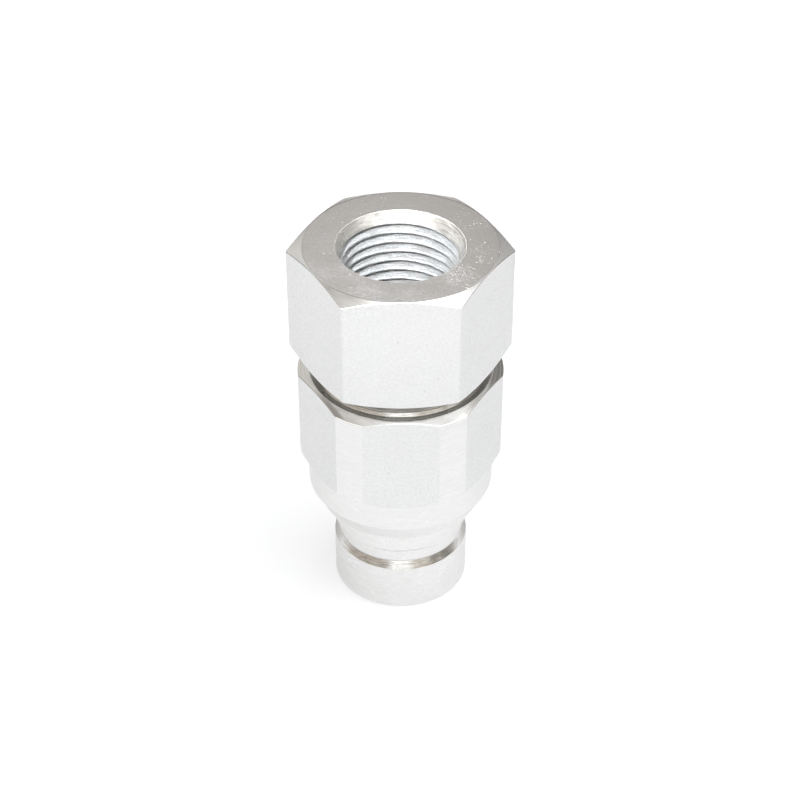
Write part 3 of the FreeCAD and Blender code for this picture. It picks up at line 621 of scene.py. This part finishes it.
def finishMesh(name, points, faces, faceFinishes, finishNames, edges, paintedShades):
    # merges the seams, sets area-weighted normals so flats stay flat, and stores wear and painted shade for
    # the materials
    seam = 0.0005 * mm
    mesh = bpy.data.meshes.new(name)
    mesh.from_pydata((points * mm).tolist(), [], faces)
    mesh.attributes.new("edgeShare", "FLOAT", "POINT").data.foreach_set("value", edges)
    mesh.attributes.new("paintedShadeShare", "FLOAT", "POINT").data.foreach_set("value", paintedShades)
    mesh.polygons.foreach_set("material_index", faceFinishes)
    work = bmesh.new()
    work.from_mesh(mesh)
    bmesh.ops.remove_doubles(work, verts=work.verts, dist=seam)
    bmesh.ops.dissolve_degenerate(work, edges=work.edges, dist=seam)
    bmesh.ops.recalc_face_normals(work, faces=work.faces)
    loose = [v for v in work.verts if not v.link_faces]
    bmesh.ops.delete(work, geom=loose, context="VERTS")
    work.to_mesh(mesh)
    work.free()
    normals = np.zeros((len(mesh.vertices), 3))
    for polygon in mesh.polygons:
        weight = np.array(polygon.normal) * polygon.area
        for vertex in polygon.vertices:
            normals[vertex] += weight
    lengths = np.linalg.norm(normals, axis=1, keepdims=True)
    normals = normals / np.where(lengths > 0, lengths, 1)
    for polygon in mesh.polygons:
        polygon.use_smooth = True
    mesh.normals_split_custom_set_from_vertices(normals.tolist())
    for finish in finishNames:
        mesh.materials.append(zinc[finish])
    print(name, len(mesh.polygons), "faces")
    return placeObject(name, mesh)


def turnPiece(name, angles, corners, extra=None, barOnly=None):
    # closed loop of corners swept round the axis; extra is an open inner surface, such as a thread, that
    # takes the place of the loop's last side
    rows, edges, paintedShades, finishes = softenLoop(corners, len(angles))
    finishNames = sorted(set(finishes) | (set(extra["finishes"]) if extra else set()))
    count = rows.shape[1]
    directions = np.stack([np.cos(angles), np.sin(angles)], 1)
    points = np.concatenate([rows[:, :, :1] * directions[:, None, :], rows[:, :, 1:]], 2).reshape(-1, 3)
    edgeList = np.tile(edges, len(angles))
    paintedShadeList = np.tile(paintedShades, len(angles))
    faces = gridFaces(len(angles), count, extra is None)
    perColumn = count if extra is None else count - 1
    faceFinishes = [finishNames.index(finishes[r]) for _ in angles for r in range(perColumn)]
    if barOnly is not None:  # drawn skin only where the bar isn't turned down
        drawn, turned = finishNames.index("zincOnDrawnBar"), finishNames.index("zincOnTurning")
        for c in range(len(angles)):
            if not (barOnly[c] and barOnly[(c + 1) % len(angles)]):
                for r in range(perColumn):
                    if faceFinishes[c * perColumn + r] == drawn:
                        faceFinishes[c * perColumn + r] = turned
    if extra:
        faces += [tuple(i + len(points) for i in face) for face in extra["faces"]]
        faceFinishes += [finishNames.index(f) for f in extra["finishes"]]
        points = np.concatenate([points, extra["points"]])
        edgeList = np.concatenate([edgeList, extra["edges"]])
        paintedShadeList = np.concatenate([paintedShadeList, extra["paintedShades"]])
    return finishMesh(name, points, faces, faceFinishes, finishNames, edgeList, paintedShadeList)


def threadSurface(angles):
    # right-hand rounded pipe thread, in rows that climb with the helix so that it stays crisp
    p = adaptor
    pitch, root, crest = p["pitch"], p["threadRoot"], p["threadCrest"]
    depth, bend = root - crest, p["threadRound"]
    low, high = p["threadFoot"], p["top"] - p["mouthEdge"]
    slope = math.tan(math.radians(p["sinkSlope"]))
    half = [0.04, 0.08, 0.122, 0.19, 0.25, 0.31, 0.378, 0.42, 0.46]  # shares of a pitch, dense where it bends
    sample = [-0.5] + [-s for s in reversed(half)] + [0.0] + half
    turns = int((high - low) / pitch) + 3
    offsets = np.array([(k + s) * pitch for k in range(-1, turns) for s in sample])
    start = p["grooveAtBack"] - pitch / 4
    start -= pitch * math.ceil((start - low) / pitch)
    closed = np.append(angles, angles[0] + 2 * math.pi)
    lead = pitch * closed[:, None] / (2 * math.pi)
    heights = np.clip(start + offsets[None, :] + lead, low, high)
    turn = (heights - start - lead) / pitch
    grooveHeight = start + lead + np.round(turn) * pitch
    fromGroove = np.abs(turn - np.round(turn)) * pitch
    flankAngle = math.radians(p["flankAngle"])
    tangent = bend * math.cos(flankAngle)
    rise = bend * (1 - math.sin(flankAngle))
    rootArc = bend - np.sqrt(np.maximum(bend ** 2 - fromGroove ** 2, 0))
    crestArc = depth - (bend - np.sqrt(np.maximum(bend ** 2 - (pitch / 2 - fromGroove) ** 2, 0)))
    straight = rise + (fromGroove - tangent) / math.tan(flankAngle)
    inward = np.where(fromGroove > pitch / 2 - tangent, crestArc, straight)
    inward = np.where(fromGroove < tangent, rootArc, inward)
    cut = depth - np.clip(inward, 0, depth)
    fadeLow = np.clip((heights - low) / (p["runOut"] * pitch), 0, 1)
    fadeHigh = np.clip((p["firstGroove"] - grooveHeight) / p["grooveFade"], 0, 1)
    threadRadius = crest + cut * fadeLow * fadeHigh
    coneRadius = p["mouth"] - (p["top"] - heights) / slope
    radii = np.maximum(threadRadius, coneRadius)
    onCone = coneRadius >= threadRadius
    columns, count = heights.shape
    across, away = np.cos(closed)[:, None], np.sin(closed)[:, None]
    points = np.stack([radii * across, radii * away, heights], 2).reshape(-1, 3)
    faces = gridFaces(columns, count, False, wrap=False)
    finishes = ["zincOnCountersink" if onCone[c, r] and onCone[c, r + 1] else "zincOnTapping"
                for c in range(columns - 1) for r in range(count - 1)]
    # painted shade in the thread roots: from this share of the depth outwards, and how fast it grows
    paintedShadeStart, paintedShadeGrowth = 0.55, 1.3
    paintedShade = np.clip(cut / depth - paintedShadeStart, 0, 1) * paintedShadeGrowth * fadeLow * (~onCone)
    return {"points": points, "faces": faces, "finishes": finishes,
            "edges": np.zeros(columns * count), "paintedShades": paintedShade.reshape(-1),
            "ends": (crest, low, float(p["mouth"] - p["mouthEdge"] / slope), high)}


def buildRearAdaptor():
    p = adaptor
    angles = columnAngles(p["nearCorner"])
    skin = hexagonReach(angles, p["flats"], p["cornerRound"])
    lowRise = (skin - p["lowFace"]) * math.tan(math.radians(p["lowSlope"]))
    topDrop = (skin - p["topFace"]) * math.tan(math.radians(p["topSlope"]))
    thread = threadSurface(angles)
    crest, low, mouth, high = thread["ends"]
    seat, top, bodyTop, end = p["seat"], p["top"], p["bodyTop"], p["spigotEnd"]
    passage, flare, neck = p["passage"], p["flare"], p["collarNeck"]
    spigot, edge, sealGroove = p["spigot"], p["spigotEdge"], p["sealGroove"]
    sealLow, sealHigh = end + p["sealLow"], end + p["sealHigh"]
    relief, joint = p["relief"], p["jointThread"]
    reliefLow, reliefHigh = (bodyTop - depth for depth in p["reliefSpan"])
    jointLow, jointHigh = (bodyTop - depth for depth in p["jointSpan"])
    turned = "zincOnTurning"
    # the last number of each corner is painted shade there, strongest in the seal groove and the gap under
    # the hexagon
    corners = [
        (crest, low, 0.0, turned, 0),
        (passage, low - (crest - passage), 0.2, turned, 0),
        (passage, end + (flare - passage), 0.3, turned, 0),
        (flare, end, 0.1, turned, 0),
        (spigot - edge, end, 0.1, turned, 0),
        (spigot, end + edge, 0.1, turned, 0),
        (spigot, sealLow, 0.1, turned, 0),
        (sealGroove, sealLow, 0.15, turned, 0.3),
        (sealGroove, sealHigh, 0.15, turned, 0.3),
        (spigot, sealHigh, 0.1, turned, 0),
        (spigot, reliefLow, 0.1, turned, 0),
        (relief, reliefLow, 0.1, turned, 0),
        (relief, reliefHigh, 0.1, turned, 0),
        (joint, jointLow, 0.1, turned, 0),
        (joint, jointHigh, 0.1, turned, 0),
        (relief, bodyTop - p["jointNeck"], 0.1, turned, 0),
        (relief, bodyTop, 0.1, turned, 0),
        (p["collar"], bodyTop, 0.04, "zincOnBurnish", 0),
        (neck, bodyTop + p["collarFoot"], 0.08, "zincInRecess", 0.7),
        (neck, bodyTop + p["oilLine"], 0.06, "zincInRecess", 0.7),
        (neck, seat, 0.25, "zincInRecess", 0.4),
        (p["lowFace"], seat, 0.12, "zincOnChamfer", 0),
        (skin, seat + lowRise, 0.14, "zincOnDrawnBar", 0),
        (skin, top - topDrop, 0.16, turned, 0),
        (p["topFace"], top, 0.16, "zincOnFacing", 0),
        (p["mouth"], top, 0.10, "zincOnCountersink", 0),
        (mouth, high, 0.0, turned, 0),
    ]
    piece = turnPiece("rearAdaptorPlated", angles, corners, thread)
    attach(piece, "housing")
    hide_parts("rear_adaptor")


buildRearAdaptor()
print("rear adaptor built")


# nose body: one turned piece with a milled hexagon; sizes in millimetres, slopes in degrees from level
noseBody = {
    "flats": 32.0, "cornerRadius": 17.20, "cornerBlend": 0.06,
    "nose": 11.60, "noseEdge": 0.35, "head": 8.90, "shoulderTop": 10.35, "groove": 10.80, "grooveTop": 12.55,
    "neck": 11.65, "neckStart": 13.40, "neckFlare": 0.6, "skirtStart": 18.40, "skirt": 14.00,
    "shankStart": 21.80, "shank": 15.80, "shankStep": 0.25, "hexStart": 26.70, "top": 44.90,
    "lowSlope": 41.3, "topSlope": 22.4, "topFace": 15.40,
    # bores, with the heights where each starts and ends
    "valveBore": 7.75, "valveEdge": 0.30, "valveTop": 6.40, "chamber": 9.10, "chamberSpan": (7.75, 19.00),
    "wideChamber": 10.20, "wideSpan": (20.10, 25.95), "guideBore": 12.40,
    "ringGroove": 0.75, "ringSpan": (28.55, 29.65),     # the retaining ring's groove in that bore
    # joint: its mouth, its end, and the undercut below it, measured down from the top
    "jointThread": 13.00, "jointMouth": 0.8, "jointEnd": 7.7, "undercut": 0.6, "undercutEnd": 8.9,
    "guideMouth": 10.1,
    "barLimit": 0.02,    # the flat counts as drawn bar where it is within this of the turned corner's radius
    "nearCorner": [0.0, 7.6, 8.0, 8.25, 8.5, 8.75, 9.0, 9.5],  # degrees from a corner that have columns
}


def buildNoseBody():
    p = noseBody
    angles = columnAngles(p["nearCorner"])
    bar = (p["flats"] / 2) / np.cos(np.mod(angles, math.pi / 3) - math.pi / 6)
    gap = bar - p["cornerRadius"]
    skin = (bar + p["cornerRadius"] - np.sqrt(gap ** 2 + p["cornerBlend"] ** 2)) / 2  # soft lesser of the two
    lowRise = (skin - p["shank"]) * math.tan(math.radians(p["lowSlope"]))
    topDrop = (skin - p["topFace"]) * math.tan(math.radians(p["topSlope"]))
    top, joint, guide = p["top"], p["jointThread"], p["guideBore"]
    undercut = joint + p["undercut"]
    ringLow, ringHigh = p["ringSpan"]
    wideLow, wideHigh = p["wideSpan"]
    chamberLow, chamberHigh = p["chamberSpan"]
    turned = "zincOnTurning"
    # the last number of each corner is painted shade in that inside corner
    corners = [
        (p["nose"] - p["noseEdge"], 0.0, 0.08, turned, 0),
        (p["nose"], p["noseEdge"], 0.12, turned, 0),
        (p["nose"], p["head"], 0.12, "zincOnBurnish", 0),
        (p["groove"], p["shoulderTop"], 0.10, turned, 0.6),
        (p["groove"], p["grooveTop"], 0.10, turned, 0.5),
        (p["neck"], p["neckStart"], 0.10, turned, 0),
        (p["neck"], p["skirtStart"] - p["neckFlare"], 0.15, turned, 0),
        (p["neck"] + p["neckFlare"], p["skirtStart"], 0.10, turned, 0.55),
        (p["skirt"], p["skirtStart"], 0.12, turned, 0),
        (p["shank"] - p["shankStep"], p["shankStart"], 0.06, turned, 0.5),
        (p["shank"], p["shankStart"], 0.08, turned, 0),
        (p["shank"], p["hexStart"], 0.10, turned, 0.15),
        (skin, p["hexStart"] + lowRise, 0.14, "zincOnDrawnBar", 0),
        (skin, top - topDrop, 0.14, "zincOnChamfer", 0),
        (p["topFace"], top, 0.12, turned, 0),
        (joint + p["jointMouth"], top, 0.1, turned, 0),
        (joint, top - p["jointMouth"], 0.1, turned, 0),
        (joint, top - p["jointEnd"], 0.1, turned, 0),
        (undercut, top - p["jointEnd"], 0.1, turned, 0),
        (undercut, top - p["undercutEnd"], 0.1, turned, 0),
        (guide, top - p["guideMouth"], 0.1, turned, 0),
        (guide, ringHigh, 0.05, turned, 0),
        (guide + p["ringGroove"], ringHigh, 0.05, turned, 0),
        (guide + p["ringGroove"], ringLow, 0.05, turned, 0),
        (guide, ringLow, 0.05, turned, 0),
        (guide, wideHigh, 0.05, turned, 0),
        (p["wideChamber"], wideHigh, 0.1, turned, 0),
        (p["wideChamber"], wideLow, 0.2, turned, 0),
        (p["chamber"], chamberHigh, 0.2, turned, 0),
        (p["chamber"], chamberLow, 0.2, turned, 0),
        (p["valveBore"], p["valveTop"], 0.1, turned, 0),
        (p["valveBore"], p["valveEdge"], 0.08, turned, 0),
        (p["valveBore"] + p["valveEdge"], 0.0, 0.08, "zincOnFacing", 0),
    ]
    piece = turnPiece("noseBodyPlated", angles, corners, barOnly=gap < p["barLimit"])
    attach(piece, "housing")
    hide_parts("nose_body")


buildNoseBody()
print("nose body built")


# poppet spring: round wire, both ends closed and ground flat
poppetSpring = {"wire": 1.5, "radius": 6.7, "turns": 4.75, "foot": 8.35, "head": 25.15,
                "closedTurns": 0.75, "squeezed": 9.8, "stepsPerTurn": 48, "sides": 18}


def buildPoppetSpring():
    s = poppetSpring
    sides = s["sides"]
    steps = round(s["turns"] * s["stepsPerTurn"])
    foot, head = s["foot"] + s["wire"] / 4, s["head"] - s["wire"] / 4  # a quarter of the wire is ground away
    openRise = head - foot - 2 * s["closedTurns"] * s["wire"]
    points, faces = [], []
    for step in range(steps + 1):
        turn = s["turns"] * step / steps
        leadIn = min(turn, s["closedTurns"])
        leadOut = max(turn - s["turns"] + s["closedTurns"], 0.0)
        share = (turn - leadIn - leadOut) / (s["turns"] - 2 * s["closedTurns"])
        height = foot + s["wire"] * (leadIn + leadOut) + openRise * share
        angle = 2 * math.pi * turn
        for side in range(sides):
            around = 2 * math.pi * side / sides
            reach = s["radius"] + math.cos(around) * s["wire"] / 2
            level = height + math.sin(around) * s["wire"] / 2
            level = min(max(level, s["foot"]), s["head"])  # ground flat on its seats
            points.append((reach * math.cos(angle) * mm, reach * math.sin(angle) * mm, level * mm))
    for step in range(steps):
        for side in range(sides):
            across = (side + 1) % sides
            a, b = step * sides, (step + 1) * sides
            faces.append((a + side, b + side, b + across, a + across))
    faces.append(tuple(range(sides)))
    faces.append(tuple(steps * sides + side for side in reversed(range(sides))))
    mesh = bpy.data.meshes.new("poppetSpringWire")
    mesh.from_pydata(points, [], faces)
    work = bmesh.new()
    work.from_mesh(mesh)
    bmesh.ops.recalc_face_normals(work, faces=work.faces)
    work.to_mesh(mesh)
    work.free()
    for polygon in mesh.polygons:
        polygon.use_smooth = len(polygon.vertices) == 4
    mesh.materials.append(plain["phosphatedSpringWire"])
    piece = placeObject("poppetSpringWire", mesh)
    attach(piece, "housing")
    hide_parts("poppet_spring")
    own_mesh(piece)


buildPoppetSpring()
print("spring wound")


# O-rings, squeezed a little between bore and groove
sealRings = {
    "adaptorSealRing": {"node": "adaptor_o_ring", "body": "housing", "inner": 10.90, "outer": 12.37,
                        "start": 31.25, "width": 2.0},
    "poppetSealRing": {"node": "poppet_o_ring", "body": "valve", "inner": 6.25, "outer": 7.70,
                       "start": 1.65, "width": 2.0},
}
ringGrid = {"steps": 120, "sides": 24, "squareness": 0.75}  # a power under 1 flattens the round section


def buildSealRing(name, ring):
    steps, sides, power = ringGrid["steps"], ringGrid["sides"], ringGrid["squareness"]
    middle = (ring["inner"] + ring["outer"]) / 2
    halfDepth = (ring["outer"] - ring["inner"]) / 2
    points = []
    for step in range(steps):
        angle = 2 * math.pi * step / steps
        for side in range(sides):
            around = 2 * math.pi * side / sides
            out = math.copysign(abs(math.cos(around)) ** power, math.cos(around)) * halfDepth
            up = math.copysign(abs(math.sin(around)) ** power, math.sin(around)) * ring["width"] / 2
            reach = middle + out
            level = ring["start"] + ring["width"] / 2 + up
            points.append((reach * math.cos(angle) * mm, reach * math.sin(angle) * mm, level * mm))
    mesh = bpy.data.meshes.new(name)
    mesh.from_pydata(points, [], gridFaces(steps, sides, True))
    for polygon in mesh.polygons:
        polygon.use_smooth = True
    mesh.materials.append(plain["mouldedNitrile"])
    piece = placeObject(name, mesh)
    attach(piece, ring["body"])
    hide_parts(ring["node"])


for ringName, ringLook in sealRings.items():
    buildSealRing(ringName, ringLook)
print("seals placed")


# inner parts that keep their CAD shape and take a finish
nodeFinishes = {
    "valve_poppet": zinc["zincOnFacing"],
    "valve_guide": plain["oiledTurnedSteel"],
    "spring_seat": plain["oiledTurnedSteel"],
    "retaining_ring": plain["phosphatedSpringWire"],
    "adaptor_backup_ring": plain["machinedPtfe"],
    "poppet_backup_ring": plain["machinedPtfe"],
}

for nodeName, finish in nodeFinishes.items():
    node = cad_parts[nodeName]
    for slot in node.material_slots:
        slot.material = finish
print("inner parts finished")
